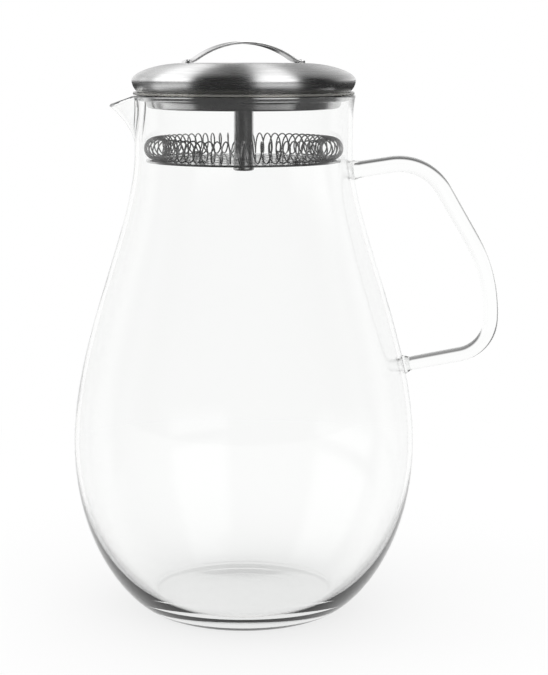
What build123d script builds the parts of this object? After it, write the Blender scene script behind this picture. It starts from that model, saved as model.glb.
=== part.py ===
"""Iced tea maker: a round glass jug with a pulled spout and a rod handle, and a lift-off steel lid
that carries a straining plate with a coil spring on a stem.

The origin is the centre of the flat foot, +Z is up, the spout points to -X and the handle to +X.
All sizes are in millimetres.
"""

import os
from copy import copy
from math import cos, pi, radians, sin

from build123d import *

os.makedirs("parts", exist_ok=True)

# ---------------------------------------------------------------------------------------------
# Driving dimensions
# ---------------------------------------------------------------------------------------------

# Glass jug: outer radii, and how far each curve runs straight on before it bends away
foot_radius, foot_pull = 38.6, 6.4
belly_radius, belly_height = 70.5, 69.0
belly_pull_down, belly_pull_up = 46.0, 43.9
neck_radius, neck_height, neck_pull = 44.25, 189.8, 29.4
flare_height = 203.0
mouth_radius, rim_height = 45.4, 212.9
glass_wall = 1.9
rim_wall = 1.5
base_thickness = 4.2
heel_wall, floor_pull, inner_belly_pull = 2.2, 8.0, 43.0

# Pouring spout: a tapered half cone that grows out of the neck
spout_root_height = 197.2
spout_slope = 0.838
spout_root_depth, spout_root_half_width = 8.0, 7.0
spout_mouth_depth, spout_mouth_half_width = 16.0, 15.0
spout_droop, spout_droop_run = 4.0, 10.3
spout_overlap = 4.0

# Rod handle: corners of its centre line, and the bend at each corner
rod_diameter = 6.4
handle_top_height = 182.0
crown_reach, crown_height, crown_bend = 74.3, 186.9, 21.0
back_reach, back_height, back_bend = 102.2, 139.6, 64.0
heel_bend_height, heel_bend = 108.6, 15.0
handle_low_height = 101.5
weld_radius, weld_length, weld_taper = 3.8, 2.8, 2.4

# Seats between the lid, its seal and the glass
seat_gap = 0.1
lid_gap = 0.05

# Seal
seal_thickness = 1.0
seal_outer_radius = 44.7

# Domed cap
sheet = 0.7
cap_height = 11.35
cap_radius, cap_belt_height = 45.2, 4.6
cap_edge_radius = 43.3
cap_flat_radius, cap_flat_pull, cap_belt_pull = 24.6, 10.0, 3.3

# Strap handle on the cap
strap_width, strap_thickness = 11.0, 1.0
strap_half_span, strap_rise = 21.4, 7.65
strap_foot = 3.2
strap_yaw = 12.0
strap_corner = 1.5
rivet_radius, rivet_head_radius, rivet_head_height = 0.9, 1.3, 0.5

# Dish under the cap, whose bead centres the lid in the mouth
dish_bead_radius, dish_bead_height = 43.2, 2.2
dish_neck_radius = 40.3
dish_floor_radius = 39.1
dish_drop = 3.3

# Stem, tie rod and fasteners
stem_radius, stem_bore_radius = 4.0, 2.4
stem_length = 19.7
stem_seal_thickness = 0.8
rod_radius, thread_gap = 2.0, 0.05
washer_radius, washer_thickness = 4.5, 0.8
nut_across_flats, nut_height = 7.0, 3.2
rod_overhang = 1.0
cap_nut_radius, cap_nut_height, cap_nut_skin = 4.4, 3.4, 1.2
lock_washer_radius, lock_washer_thickness = 4.2, 0.5
edge_break = 0.3

# Straining plate
plate_radius, plate_thickness = 39.6, 0.8
plate_hole_radius, plate_hole_pitch = 1.6, 5.4
plate_first_ring, plate_ring_pitch, plate_ring_count = 9.0, 5.2, 5

# Coil spring, wound into a ring that lies on the plate, and the tabs that hold it down
coil_turns = 66
coil_radius = 36.0
loop_radius = 4.2
wire_radius = 0.3
coil_gap = 0.05
tab_count = 6
tab_length, tab_post, tab_sheet = 1.8, 0.8, 0.6
tab_gap = 0.15

# ---------------------------------------------------------------------------------------------
# Heights that follow from the stack of the lid
# ---------------------------------------------------------------------------------------------

seal_bottom = rim_height + seat_gap
seal_top = seal_bottom + seal_thickness
cap_base = seal_top + lid_gap
cap_belt = cap_base + cap_belt_height
cap_top = cap_base + cap_height
bead_top = seal_bottom - lid_gap
bead_bottom = bead_top - dish_bead_height
dish_bottom = bead_bottom - dish_drop
stem_top = dish_bottom - stem_seal_thickness
plate_top = stem_top - stem_length
plate_bottom = plate_top - plate_thickness
lock_washer_bottom = plate_bottom - lock_washer_thickness
cap_nut_bottom = lock_washer_bottom - cap_nut_height
washer_bottom = dish_bottom + sheet
nut_bottom = washer_bottom + washer_thickness
nut_top = nut_bottom + nut_height
rod_hole_radius = rod_radius + 2 * thread_gap


def save(builder, name):
    """Label a finished piece and write it to its own file."""
    builder.part.label = name
    export_step(builder.part, f"parts/{name}.step")


# ---------------------------------------------------------------------------------------------
# Glass jug
# ---------------------------------------------------------------------------------------------


def spout_section(height, wall):
    """The centre, depth and half width of the spout's oval at one height, inside a given wall."""
    climb = height - spout_root_height
    share = climb / (rim_height - spout_root_height)
    depth = spout_root_depth + share * (spout_mouth_depth - spout_root_depth)
    half_width = spout_root_half_width + share * (spout_mouth_half_width - spout_root_half_width)
    centre = depth - neck_radius - spout_slope * climb
    return centre, depth - wall, half_width - wall


spout_levels = (spout_root_height - spout_overlap, rim_height)
floor_radius = foot_radius - heel_wall

# The filled outside of the jug, which also shapes the ends of the handle
with BuildPart() as jug_envelope:
    with BuildSketch(Plane.XZ):
        with BuildLine():
            Line((0, 0), (foot_radius, 0))
            Bezier(
                (foot_radius, 0),
                (foot_radius + foot_pull, 0),
                (belly_radius, belly_height - belly_pull_down),
                (belly_radius, belly_height),
            )
            Bezier(
                (belly_radius, belly_height),
                (belly_radius, belly_height + belly_pull_up),
                (neck_radius, neck_height - neck_pull),
                (neck_radius, neck_height),
            )
            Line((neck_radius, neck_height), (neck_radius, flare_height))
            Bezier(
                (neck_radius, flare_height),
                (neck_radius, (flare_height + rim_height) / 2),
                (mouth_radius, rim_height),
            )
            Polyline((mouth_radius, rim_height), (0, rim_height), (0, 0))
        make_face()
    revolve(axis=Axis.Z)
    for height in spout_levels:
        centre, depth, half_width = spout_section(height, 0)
        with BuildSketch(Plane.XY.offset(height)):
            with Locations((centre, 0)):
                Ellipse(depth, half_width)
    loft()

# The hollow inside, with the spout's channel
with BuildPart() as jug_hollow:
    with BuildSketch(Plane.XZ):
        with BuildLine():
            Line((0, base_thickness), (floor_radius, base_thickness))
            Bezier(
                (floor_radius, base_thickness),
                (floor_radius + floor_pull, base_thickness),
                (belly_radius - glass_wall, belly_height - inner_belly_pull),
                (belly_radius - glass_wall, belly_height),
            )
            Bezier(
                (belly_radius - glass_wall, belly_height),
                (belly_radius - glass_wall, belly_height + belly_pull_up),
                (neck_radius - glass_wall, neck_height - neck_pull),
                (neck_radius - glass_wall, neck_height),
            )
            Line((neck_radius - glass_wall, neck_height), (neck_radius - glass_wall, flare_height))
            Bezier(
                (neck_radius - glass_wall, flare_height),
                (neck_radius - glass_wall, (flare_height + rim_height) / 2),
                (mouth_radius - rim_wall, rim_height),
            )
            Polyline((mouth_radius - rim_wall, rim_height), (0, rim_height), (0, base_thickness))
        make_face()
    revolve(axis=Axis.Z)
    for height in spout_levels:
        centre, depth, half_width = spout_section(height, glass_wall)
        with BuildSketch(Plane.XY.offset(height)):
            with Locations((centre, 0)):
                Ellipse(depth, half_width)
    loft()

with BuildPart() as glass_body:
    add(jug_envelope.part)
    add(jug_hollow.part, mode=Mode.SUBTRACT)
    # The lip falls away towards the tip of the spout
    lip_start = rim_wall - mouth_radius
    with BuildSketch(Plane.XZ):
        with BuildLine():
            Polyline(
                (lip_start, rim_height),
                (lip_start - 2 * spout_droop_run, rim_height - 2 * spout_droop),
                (lip_start - 2 * spout_droop_run, rim_height + spout_droop),
                (lip_start, rim_height + spout_droop),
                close=True,
            )
        make_face()
    extrude(amount=mouth_radius, both=True, mode=Mode.SUBTRACT)
save(glass_body, "glass_body")

# ---------------------------------------------------------------------------------------------
# Rod handle, whose flared ends are melted onto the jug
# ---------------------------------------------------------------------------------------------


def outer_reach(height):
    """The jug's outer radius at one height."""
    level = Axis((0, 0, height), (1, 0, 0))
    crossings = [face.find_intersection_points(level) for face in jug_envelope.faces()]
    return max(point.X for face_crossings in crossings for point, _ in face_crossings)


# Both ends of the centre line start at the inner face of the jug's wall
handle_top_reach = outer_reach(handle_top_height) - glass_wall
handle_low_reach = outer_reach(handle_low_height) - glass_wall
handle_corners = [
    (handle_top_reach, handle_top_height),
    (crown_reach, crown_height),
    (back_reach, back_height),
    (back_reach, heel_bend_height),
    (handle_low_reach, handle_low_height),
]

with BuildPart() as glass_handle:
    with BuildLine(Plane.XZ) as centre_line:
        FilletPolyline(*handle_corners, radius=[crown_bend, back_bend, heel_bend])
    rod_path = centre_line.wires()[0]
    with BuildSketch(Plane(rod_path @ 0, z_dir=rod_path % 0)):
        Circle(rod_diameter / 2)
    sweep(path=rod_path)
    # Each end swells into the blob of glass that joins it to the jug
    weld_steps = (
        (0, weld_radius),
        (weld_length, weld_radius),
        (weld_length + weld_taper, rod_diameter / 2),
    )
    for weld_point, weld_way in ((rod_path @ 0, rod_path % 0), (rod_path @ 1, rod_path % 1 * -1)):
        for step, radius in weld_steps:
            with BuildSketch(Plane(weld_point + weld_way * step, z_dir=weld_way)):
                Circle(radius)
        loft(ruled=True)
    add(jug_envelope.part, mode=Mode.SUBTRACT)
save(glass_handle, "glass_handle")

# ---------------------------------------------------------------------------------------------
# Seal between the lid and the glass
# ---------------------------------------------------------------------------------------------

with BuildPart() as lid_gasket:
    with BuildSketch(Plane.XY.offset(seal_bottom)):
        Circle(seal_outer_radius)
        Circle(dish_neck_radius + seat_gap, mode=Mode.SUBTRACT)
    extrude(amount=seal_thickness)
save(lid_gasket, "lid_gasket")

# ---------------------------------------------------------------------------------------------
# Domed cap with its strap handle
# ---------------------------------------------------------------------------------------------


def cap_outline(skin):
    """The points of the cap's shoulder and rolled edge, one skin inside its outer face."""
    shoulder = [
        (cap_flat_radius, cap_top - skin),
        (cap_flat_radius + cap_flat_pull, cap_top - skin),
        (cap_radius - skin, cap_belt + cap_belt_pull),
        (cap_radius - skin, cap_belt),
    ]
    rolled_edge = [
        (cap_radius - skin, cap_belt),
        (cap_radius - skin, (cap_base + cap_belt) / 2),
        (cap_edge_radius - skin, cap_base),
    ]
    return shoulder, rolled_edge


# The room under the cap, which also shapes the top of the dish's wall
with BuildPart() as cap_hollow:
    with BuildSketch(Plane.XZ):
        with BuildLine():
            shoulder, rolled_edge = cap_outline(sheet)
            Line((0, cap_top - sheet), shoulder[0])
            Bezier(*shoulder)
            Bezier(*rolled_edge)
            Polyline(rolled_edge[-1], (rolled_edge[-1][0], bead_top), (0, bead_top))
            Line((0, bead_top), (0, cap_top - sheet))
        make_face()
    revolve(axis=Axis.Z)

rivet_reach = strap_half_span + strap_foot / 2

with BuildPart() as lid_cap:
    with BuildSketch(Plane.XZ):
        with BuildLine():
            shoulder, rolled_edge = cap_outline(0)
            Line((0, cap_top), shoulder[0])
            Bezier(*shoulder)
            Bezier(*rolled_edge)
            Polyline(rolled_edge[-1], (0, cap_base), (0, cap_top))
        make_face()
    revolve(axis=Axis.Z)
    add(cap_hollow.part, mode=Mode.SUBTRACT)
    with BuildSketch(Plane.XY.offset(cap_top)):
        with PolarLocations(rivet_reach, 2, start_angle=strap_yaw):
            Circle(rivet_radius)
    extrude(amount=-2 * sheet, mode=Mode.SUBTRACT)
save(lid_cap, "lid_cap")

# A strap bent into an arch, with a flat foot at each end
with BuildPart() as lid_strap:
    with BuildSketch(Plane.XZ):
        with BuildLine():
            Line((-strap_half_span - strap_foot, cap_top), (-strap_half_span, cap_top))
            ThreePointArc(
                (-strap_half_span, cap_top),
                (0, cap_top + strap_rise),
                (strap_half_span, cap_top),
            )
            Line((strap_half_span, cap_top), (strap_half_span + strap_foot, cap_top))
            offset(amount=strap_thickness, side=Side.LEFT)
        make_face()
    extrude(amount=strap_width / 2, both=True)
    fillet(lid_strap.edges().filter_by(Axis.Z), radius=strap_corner)
    with BuildSketch(Plane.XY.offset(cap_top)):
        with PolarLocations(rivet_reach, 2):
            Circle(rivet_radius)
    extrude(amount=strap_thickness, mode=Mode.SUBTRACT)
lid_strap.part = lid_strap.part.rotate(Axis.Z, strap_yaw)
save(lid_strap, "lid_strap")

# Two rivets hold the strap, each with a domed head outside and a flat one inside
with BuildPart() as rivet:
    with BuildSketch(Plane.XZ):
        with BuildLine():
            Polyline(
                (0, cap_top + strap_thickness + rivet_head_height),
                (0, cap_top - sheet - rivet_head_height),
                (rivet_head_radius, cap_top - sheet - rivet_head_height),
                (rivet_head_radius, cap_top - sheet),
                (rivet_radius, cap_top - sheet),
                (rivet_radius, cap_top + strap_thickness),
                (rivet_head_radius, cap_top + strap_thickness),
            )
            Bezier(
                (rivet_head_radius, cap_top + strap_thickness),
                (rivet_head_radius, cap_top + strap_thickness + rivet_head_height),
                (0, cap_top + strap_thickness + rivet_head_height),
            )
        make_face()
    revolve(axis=Axis.Z)

with BuildPart() as strap_rivets:
    with PolarLocations(rivet_reach, 2, start_angle=strap_yaw):
        add(rivet.part)
save(strap_rivets, "strap_rivets")

# ---------------------------------------------------------------------------------------------
# Dish under the cap: a floor, a bead that centres it in the mouth, and a wall up into the cap
# ---------------------------------------------------------------------------------------------

with BuildPart() as dish_wall:
    with BuildSketch(Plane.XY.offset(bead_top)):
        Circle(dish_neck_radius)
        Circle(dish_neck_radius - sheet, mode=Mode.SUBTRACT)
    extrude(amount=cap_top - bead_top)
    add(cap_hollow.part, mode=Mode.INTERSECT)

with BuildPart() as lid_dish:
    with BuildSketch(Plane.XZ):
        with BuildLine():
            Polyline(
                (rod_hole_radius, dish_bottom),
                (dish_floor_radius, dish_bottom),
                (dish_neck_radius, bead_bottom),
                (dish_bead_radius, bead_bottom),
                (dish_bead_radius, bead_top),
                (dish_neck_radius - sheet, bead_top),
            )
            offset(amount=sheet, side=Side.LEFT)
        make_face()
    revolve(axis=Axis.Z)
    add(dish_wall.part)
save(lid_dish, "lid_dish")

# ---------------------------------------------------------------------------------------------
# Stem, tie rod and fasteners
# ---------------------------------------------------------------------------------------------

with BuildPart() as stem_tube:
    with BuildSketch(Plane.XY.offset(plate_top)):
        Circle(stem_radius)
        Circle(stem_bore_radius, mode=Mode.SUBTRACT)
    extrude(amount=stem_length)
save(stem_tube, "stem_tube")

with BuildPart() as stem_seal:
    with BuildSketch(Plane.XY.offset(stem_top)):
        Circle(stem_radius)
        Circle(rod_hole_radius, mode=Mode.SUBTRACT)
    extrude(amount=stem_seal_thickness)
save(stem_seal, "stem_seal")

# The rod runs from the cap nut below the plate to the nut inside the lid
rod_bottom = cap_nut_bottom + cap_nut_skin + thread_gap
rod_top = nut_top + rod_overhang

with BuildPart() as tie_rod:
    with BuildSketch(Plane.XY.offset(rod_bottom)):
        Circle(rod_radius)
    extrude(amount=rod_top - rod_bottom)
    chamfer(tie_rod.edges(), length=edge_break)
save(tie_rod, "tie_rod")

with BuildPart() as rod_washer:
    with BuildSketch(Plane.XY.offset(washer_bottom)):
        Circle(washer_radius)
        Circle(rod_hole_radius, mode=Mode.SUBTRACT)
    extrude(amount=washer_thickness)
save(rod_washer, "rod_washer")

with BuildPart() as rod_nut:
    with BuildSketch(Plane.XY.offset(nut_bottom)):
        RegularPolygon(nut_across_flats / 2, 6, major_radius=False)
        Circle(rod_radius + thread_gap, mode=Mode.SUBTRACT)
    extrude(amount=nut_height)
save(rod_nut, "rod_nut")

with BuildPart() as lock_washer:
    with BuildSketch(Plane.XY.offset(lock_washer_bottom)):
        Circle(lock_washer_radius)
        Circle(rod_hole_radius, mode=Mode.SUBTRACT)
    extrude(amount=lock_washer_thickness)
save(lock_washer, "lock_washer")

with BuildPart() as cap_nut:
    with BuildSketch(Plane.XY.offset(cap_nut_bottom)):
        Circle(cap_nut_radius)
    extrude(amount=cap_nut_height)
    fillet(cap_nut.faces().sort_by(Axis.Z)[0].edges(), radius=cap_nut_skin)
    with BuildSketch(Plane.XY.offset(cap_nut_bottom + cap_nut_skin)):
        Circle(rod_radius + thread_gap)
    extrude(amount=cap_nut_height - cap_nut_skin, mode=Mode.SUBTRACT)
save(cap_nut, "cap_nut")

# ---------------------------------------------------------------------------------------------
# Straining plate, with tabs lanced out of it that reach over the coil's wire
# ---------------------------------------------------------------------------------------------

turn_angle = 360 / coil_turns
wire_top = coil_gap + 2 * wire_radius
tab_height = wire_top + tab_gap + tab_sheet
tab_span = radians(turn_angle / 2) * coil_radius + wire_radius + tab_gap + tab_post / 2
hole_rings = [plate_first_ring + step * plate_ring_pitch for step in range(plate_ring_count)]

with BuildPart() as strainer_plate:
    with BuildSketch(Plane.XY.offset(plate_bottom)):
        Circle(plate_radius)
        Circle(rod_hole_radius, mode=Mode.SUBTRACT)
        for ring in hole_rings:
            with PolarLocations(ring, int(2 * pi * ring / plate_hole_pitch)):
                Circle(plate_hole_radius, mode=Mode.SUBTRACT)
        # The windows that the tabs were lanced from
        with PolarLocations(coil_radius, tab_count, start_angle=turn_angle / 2):
            with Locations((0, tab_post / 2)):
                Rectangle(
                    tab_length,
                    tab_span - tab_post,
                    align=(Align.CENTER, Align.MIN),
                    mode=Mode.SUBTRACT,
                )
    extrude(amount=plate_thickness)
    with BuildSketch(Plane.XY.offset(plate_top)):
        with PolarLocations(coil_radius, tab_count, start_angle=turn_angle / 2):
            Rectangle(tab_length, tab_post)
    extrude(amount=tab_height)
    with BuildSketch(Plane.XY.offset(plate_top + tab_height - tab_sheet)):
        with PolarLocations(coil_radius, tab_count, start_angle=turn_angle / 2):
            with Locations((0, -tab_post / 2)):
                Rectangle(tab_length, tab_span, align=(Align.CENTER, Align.MIN))
    extrude(amount=tab_sheet)
save(strainer_plate, "strainer_plate")

# ---------------------------------------------------------------------------------------------
# Coil spring: one turn of the wire, repeated round the ring so that its ends meet
# ---------------------------------------------------------------------------------------------

points_per_turn = 16
coil_height = plate_top + coil_gap + wire_radius + loop_radius


def coil_point(share):
    """The wire's centre after a share of one turn, which starts at the bottom of its loop."""
    loop = radians(360 * share - 90)
    around = radians(turn_angle * share)
    reach = coil_radius + loop_radius * cos(loop)
    return reach * cos(around), reach * sin(around), coil_height + loop_radius * sin(loop)


advance = coil_radius / coil_turns
start_way = Vector(loop_radius, advance, 0)
end_way = start_way.rotate(Axis.Z, turn_angle)

with BuildPart() as coil_turn:
    with BuildLine() as wire_line:
        Spline(
            [coil_point(step / points_per_turn) for step in range(points_per_turn + 1)],
            tangents=[start_way, end_way],
            tangent_scalars=[1, 1],
        )
    wire_path = wire_line.edges()[0]
    with BuildSketch(Plane(wire_path @ 0, z_dir=wire_path % 0)):
        Circle(wire_radius)
    sweep(path=wire_path)

turns = []
for step in range(coil_turns):
    turn = copy(coil_turn.part.solid())
    turn.location = Location((0, 0, 0), (0, 0, step * turn_angle))
    turns.append(turn)
coil_spring = Compound(label="coil_spring", children=turns)
export_step(coil_spring, "parts/coil_spring.step")
expected = pi * wire_radius**2 * wire_path.length * coil_turns
print(f"coil volume {coil_spring.volume:.2f}, section times length {expected:.2f}")
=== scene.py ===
"""Iced tea maker: the looks of a glass jug with a rod handle, and of its steel lid and strainer.

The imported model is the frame. Each new surface is a grid of points worked out with numpy, stands
in the place of its CAD node, and rides on the same body. Sizes are in millimetres, as in the
part's own source, and become metres when a mesh is built.
"""

import logging
from dataclasses import dataclass
from enum import Enum
from functools import reduce
from math import comb, cos, pi, radians, sin

import bpy
import numpy as np
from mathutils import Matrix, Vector


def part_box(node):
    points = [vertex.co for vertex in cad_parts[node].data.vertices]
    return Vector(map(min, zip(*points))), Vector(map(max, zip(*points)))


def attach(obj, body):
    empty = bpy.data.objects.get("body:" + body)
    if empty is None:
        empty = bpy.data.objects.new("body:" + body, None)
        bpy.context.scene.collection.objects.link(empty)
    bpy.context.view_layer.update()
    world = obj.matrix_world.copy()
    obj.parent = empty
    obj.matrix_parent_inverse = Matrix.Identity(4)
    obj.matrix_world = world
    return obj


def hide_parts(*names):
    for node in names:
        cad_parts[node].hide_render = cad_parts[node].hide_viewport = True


LOG = logging.getLogger("iced_tea_maker")
METRES = 0.001
FULL_TURN = 2 * pi

# An edge stays sharp from this many degrees, and points closer than this many decimals merge
CREASE = 40.0
WELD_DECIMALS = 7

# A rounded corner: its spans, the share of a side that it may take, and its guard points' reach
CORNER_STEPS = 5
EASE_SHARE = 0.45
GUARD_REACH = 0.4
GUARD_SHARE = 0.4

WHITE = (1, 1, 1, 1)
FINE_DETAIL = 3.0

# Glass faces that a ray passes: more than the first off metal behind glass, the second in the rod
WALL_PASSES = 3
ROD_PASSES = 2

LIGHT_PATHS = {
    "max_bounces": 32,
    "transmission_bounces": 24,
    "glossy_bounces": 8,
    "transparent_max_bounces": 24,
    "caustics_reflective": False,
    "caustics_refractive": False,
}

Array = np.ndarray
Shape = bpy.types.Object
Material = bpy.types.Material
Owner = Material | bpy.types.World
Socket = bpy.types.NodeSocket
Value = Socket | float
Pair = tuple[float, float]
Span = tuple[Pair, Pair]
Place = tuple[float, float, float]
Colour = tuple[float, float, float, float]

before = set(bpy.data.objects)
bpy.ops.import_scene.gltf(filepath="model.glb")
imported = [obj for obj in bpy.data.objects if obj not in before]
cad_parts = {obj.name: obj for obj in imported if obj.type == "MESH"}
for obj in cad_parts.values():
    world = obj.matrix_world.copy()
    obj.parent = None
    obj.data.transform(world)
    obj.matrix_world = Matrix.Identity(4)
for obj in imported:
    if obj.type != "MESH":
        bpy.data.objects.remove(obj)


# ----- Curves and grids -----


def bezier(corners: list[Pair], steps: int) -> Array:
    """Points along a Bezier curve: each corner weighted by its Bernstein polynomial.

    Args:
        corners: control points of the curve.
        steps: how many spans the curve is cut into.

    Returns:
        An array of steps + 1 points.
    """
    degree = len(corners) - 1
    share = np.linspace(0, 1, steps + 1)[:, None]
    order = np.arange(degree + 1)[None, :]
    ways = np.array([comb(degree, each) for each in range(degree + 1)])
    weights = ways * share**order * (1 - share) ** (degree - order)
    return weights @ np.asarray(corners, float)


def drawn(start: Pair, *runs: tuple[int, list[Pair]]) -> Array:
    """A line of runs end to end.

    Args:
        start: where the line starts.
        runs: how many spans each run is cut into, and its corners after the point that it starts
            from. One corner makes it straight, and more make it a Bezier curve.

    Returns:
        The points of the line.
    """
    line = [np.array([start], float)]
    for steps, corners in runs:
        corners = [line[-1][-1], *corners]
        run = bezier(corners, steps) if len(corners) > 2 else np.linspace(*corners, steps + 1)
        line.append(run[1:])
    return np.concatenate(line)


def travelled(line: Array) -> Array:
    """How far along a line each of its points lies: the sum of the steps before it."""
    return np.concatenate([[0], np.cumsum(np.linalg.norm(np.diff(line, axis=0), axis=1))])


def rounded(corners: list[Pair], radius: float) -> Array:
    """A closed outline whose corners are eased by quadratic curves of about the given radius.

    Each corner gives way to a curve that starts and ends one ease from it along its two sides,
    where the ease is the radius or a share of the shorter side, whichever is less. A guard point
    on each side of the curve keeps the shading of the straight sides flat.

    Args:
        corners: the outline's corners in order.
        radius: how far from each corner the easing starts.

    Returns:
        The closed outline, whose last point repeats its first.
    """
    tip = np.asarray(corners, float)
    sides = [np.roll(tip, step, axis=0) - tip for step in (1, -1)]
    reaches = [np.linalg.norm(side, axis=1, keepdims=True) for side in sides]
    ease = np.minimum(radius, EASE_SHARE * np.minimum(*reaches))
    ends, guards = [], []
    for side, reach in zip(sides, reaches):
        way = side / reach
        ends.append((tip + way * ease)[:, None])
        beyond = np.minimum(GUARD_REACH, GUARD_SHARE * (reach / 2 - ease))
        guards.append(ends[-1] + (way * beyond)[:, None])
    share = np.linspace(0, 1, CORNER_STEPS + 1)[None, :, None]
    start, end = ends
    curve = (1 - share) ** 2 * start + 2 * share * (1 - share) * tip[:, None] + share**2 * end
    outline = np.concatenate([guards[0], curve, guards[1]], axis=1).reshape(-1, tip.shape[1])
    return np.concatenate([outline, outline[:1]])


def soft_max(first: Array, second: Array, blend: float) -> Array:
    """The larger of two values, with a parabola where they differ by less than the blend."""
    near = np.maximum(blend - np.abs(first - second), 0) / blend
    return np.maximum(first, second) + near**2 * blend / 4


def polar(reach: Array, height: Array, angle: Array) -> Array:
    """A closed grid: the radius r and height z at the angle a become (r cos a, r sin a, z).

    Args:
        reach: the radii.
        height: the heights.
        angle: the angles of the columns, one whole turn.

    Returns:
        A grid whose last column repeats its first.
    """
    places = np.broadcast_arrays(reach * np.cos(angle), reach * np.sin(angle), height)
    grid = np.stack(places, axis=-1)
    grid[:, -1] = grid[:, 0]
    return grid


def spun(outline: Array, turns: int) -> Array:
    """An outline of radius and height carried round Z in the given number of columns."""
    return polar(outline[:, :1], outline[:, 1:], np.linspace(0, FULL_TURN, turns + 1))


def rolled(outer: Array, inner: Array, bulge: float, spans: int) -> Array:
    """Half an ellipse between two edges: their middle + half their gap cos t + the bulge sin t.

    Args:
        outer: radius and height at the end of the outer skin.
        inner: the same for the inner skin.
        bulge: how far it rises past the middle, or falls if below 0.
        spans: how many spans it is cut into.

    Returns:
        The points between the two edges, without the edges themselves.
    """
    turn = np.linspace(0, pi, spans + 1)[1:-1].reshape(-1, *(1,) * outer.ndim)
    middle, half = (outer + inner) / 2, (outer - inner) / 2
    return middle + half * np.cos(turn) + np.array([0, bulge]) * np.sin(turn)


def carried(path: Array, across: Array, up: Array, section: Array) -> Array:
    """A section carried along a path: each point is path + u across + v up.

    Args:
        path: points of the centre line, one a row.
        across: unit vector of the section's first axis at each point.
        up: unit vector of the section's second axis at each point.
        section: (u, v) of each point of the section, the same for all rows or one set a row.

    Returns:
        A grid with one row for each point of the path.
    """
    section = np.broadcast_to(section, (len(path), *section.shape[-2:]))
    return path[:, None] + section[..., :1] * across[:, None] + section[..., 1:] * up[:, None]


def yawed(points: Array, angle: float) -> Array:
    """The points turned about Z: (x, y) becomes (x cos a - y sin a, x sin a + y cos a)."""
    x, y, z = np.moveaxis(points, -1, 0)
    return np.stack([x * cos(angle) - y * sin(angle), x * sin(angle) + y * cos(angle), z], axis=-1)


def ring(sides: int) -> Array:
    """A unit circle of (u, v) points, closed by repeating the first."""
    return polar(1.0, 0.0, np.linspace(0, FULL_TURN, sides + 1)[None])[0, :, :2]


@dataclass
class Piece:
    """One visible piece, made of closed grids of points in millimetres."""

    name: str
    grids: list[Array]

    @staticmethod
    def _weld(grid: Array) -> tuple[Array, Array, Array]:
        """Merge a grid's equal points, so that seams and poles close.

        Args:
            grid: rows by columns of points.

        Returns:
            The points, the faces of four corners and the faces of three, turned outwards.
        """
        rows, columns, _ = grid.shape
        flat = grid.reshape(-1, 3).round(WELD_DECIMALS)
        points, index = np.unique(flat, axis=0, return_inverse=True)
        index = index.reshape(rows, columns)
        corners = [index[:-1, :-1], index[1:, :-1], index[1:, 1:], index[:-1, 1:]]
        faces = np.stack(corners, axis=-1).reshape(-1, 4)
        repeats = faces == np.roll(faces, -1, axis=1)
        count = repeats.sum(axis=1)
        fours = faces[count == 0]
        threes = faces[count == 1][~repeats[count == 1]].reshape(-1, 3)
        halves = np.concatenate([fours[:, :3], fours[:, [0, 2, 3]], threes])
        first, second, third = (points[halves[:, corner]] for corner in range(3))
        if np.einsum("ij,ij->", first, np.cross(second, third)) < 0:
            fours, threes = fours[:, ::-1], threes[:, ::-1]
        return points, fours, threes

    def build(self) -> Shape:
        """Put the grids into one mesh object at the origin.

        Returns:
            The new object, linked to the scene.
        """
        points, faces, offset = [], [], 0
        for grid in self.grids:
            corners, fours, threes = self._weld(grid)
            points.append(corners)
            faces += (fours + offset).tolist() + (threes + offset).tolist()
            offset += len(corners)
        mesh = bpy.data.meshes.new(self.name)
        mesh.from_pydata((np.concatenate(points) * METRES).tolist(), [], faces)
        mesh.shade_smooth()
        mesh.set_sharp_from_angle(angle=radians(CREASE))
        shape = bpy.data.objects.new(self.name, mesh)
        bpy.context.scene.collection.objects.link(shape)
        LOG.info("%s: %d points, %d faces", self.name, len(mesh.vertices), len(mesh.polygons))
        return shape


def node_box(node: str) -> tuple[Array, Array]:
    """The lowest and highest corner of a CAD node, in millimetres."""
    low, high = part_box(node)
    return np.array(low) / METRES, np.array(high) / METRES


# ----- Finishes -----


class Body(Enum):
    """The bodies that pieces ride on."""

    JUG = "jug"
    SEAL = "seal"
    LID = "lid"


class Slot(Enum):
    """The record's material slots."""

    GLASS = "clear_glass"
    SILICONE = "silicone"
    BRUSHED = "brushed_steel"
    POLISHED = "polished_steel"
    FASTENER = "fastener_steel"
    WIRE = "spring_wire"


class Grain(Enum):
    """Which way the fine lines of a metal run."""

    ROUND = "round"
    ALONG = "along"
    CLOUDED = "clouded"


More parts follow.
